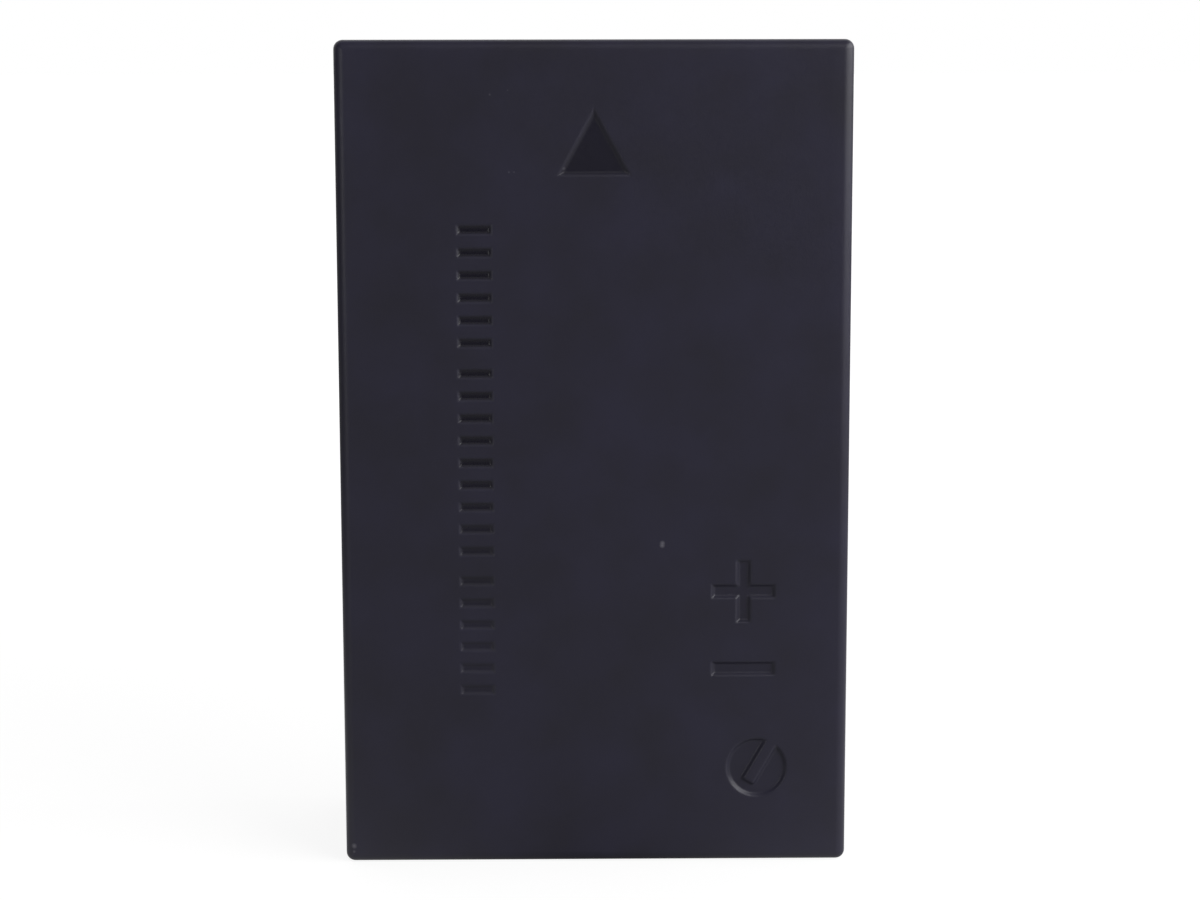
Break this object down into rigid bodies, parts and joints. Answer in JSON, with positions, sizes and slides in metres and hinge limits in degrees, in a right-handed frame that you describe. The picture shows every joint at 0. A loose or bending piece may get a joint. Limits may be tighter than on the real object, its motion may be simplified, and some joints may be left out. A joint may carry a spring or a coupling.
{
  "type": "camera battery",
  "caption": "Flat rectangular rechargeable camera battery: welded black plastic case with a sunk insertion arrow, cells and board inside, and gold contacts in windows in its leading end.",
  "frame": {"origin": "middle of the trailing end, on which the battery stands", "axes": "+Z towards the leading end, the way it goes into a camera; the cover with the arrow faces -Y; +X to the right seen from the cover side"},
  "size_m": [0.0308, 0.0142, 0.05],
  "materials": {
    "moulded_case": "fine moulded texture, matt charcoal black",
    "cell_can": "drawn",
    "adhesive_tape": "dull",
    "foam": "open cell",
    "insulating_card": "calendered",
    "nickel_strip": "rolled",
    "cutoff_body": "dull",
    "board_laminate": "solder mask",
    "plated_contact": "gold plated",
    "chip_moulding": "moulded",
    "chip_ceramic": "fired"
  },
  "bodies": {
    "root": {"case_cover": "moulded_case", "case_body": "moulded_case", "front_cell": "cell_can", "rear_cell": "cell_can", "rear_tape": "adhesive_tape", "cell_tape": "adhesive_tape", "front_pad": "foam", "base_pad": "foam", "cell_insulator": "insulating_card", "negative_strap": "nickel_strip", "positive_strap": "nickel_strip", "series_strap": "nickel_strip", "thermal_cutoff": "cutoff_body", "circuit_board": "board_laminate", "negative_contact": "plated_contact", "sense_contact": "plated_contact", "positive_contact": "plated_contact", "protection_chip": "chip_moulding", "switch_transistors": "chip_moulding", "thermistor": "chip_ceramic", "chip_resistors": "chip_ceramic", "chip_capacitors": "chip_ceramic"}
  },
  "joints": []
}
